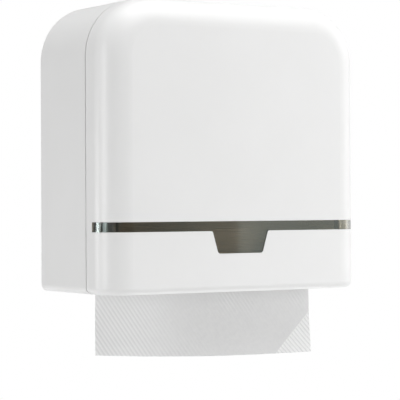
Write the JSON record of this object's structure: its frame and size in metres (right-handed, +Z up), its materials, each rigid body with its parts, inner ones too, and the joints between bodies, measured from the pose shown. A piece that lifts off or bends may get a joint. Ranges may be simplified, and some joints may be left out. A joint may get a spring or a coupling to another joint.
{
  "type": "paper towel dispenser",
  "caption": "Wall-mounted dispenser for folded paper towels: white two-part case, hinged front cover with smoked window strip, key lock, outlet slot below.",
  "frame": {"origin": "on the wall plane at the back face, in the middle of the four wall screw holes", "axes": "+X to the right seen from the room, +Y into the wall, +Z up; the cover faces -Y"},
  "size_m": [0.263, 0.12, 0.3142],
  "materials": {
    "white_abs": "satin",
    "tray_abs": "satin",
    "smoked_window": "gloss",
    "zinc_steel": "satin",
    "lock_chrome": "polished",
    "towel_paper": "matte"
  },
  "bodies": {
    "housing": {"rear_housing": "white_abs", "outlet_tray": "tray_abs", "tray_screws": "zinc_steel", "left_hinge_pin": "zinc_steel", "right_hinge_pin": "zinc_steel", "lock_body": "lock_chrome", "lock_washer": "zinc_steel", "lock_nut": "zinc_steel", "towel_stack": "towel_paper"},
    "cover": {"front_cover": "white_abs", "window": "smoked_window", "keeper_plate": "zinc_steel", "keeper_post": "zinc_steel", "keeper_screws": "zinc_steel"},
    "lock": {"lock_plug": "lock_chrome", "stop_washer": "zinc_steel", "lock_cam": "zinc_steel", "cam_screw": "zinc_steel"},
    "towel": {"towel_sheet": "towel_paper"}
  },
  "joints": [
    {"name": "cover_hinge", "type": "hinge", "parent": "housing", "child": "cover", "pos_m": [0, -0.088, -0.12], "axis": [1, 0, 0], "range_deg": [0, 90]},
    {"name": "lock_turn", "type": "hinge", "parent": "housing", "child": "lock", "pos_m": [0, -0.058, 0.1188], "axis": [0, 0, -1], "range_deg": [0, 90]},
    {"name": "towel_pull", "type": "slide", "parent": "housing", "child": "towel", "axis": [0, 0, -1], "range_m": [0, 0.077]}
  ]
}
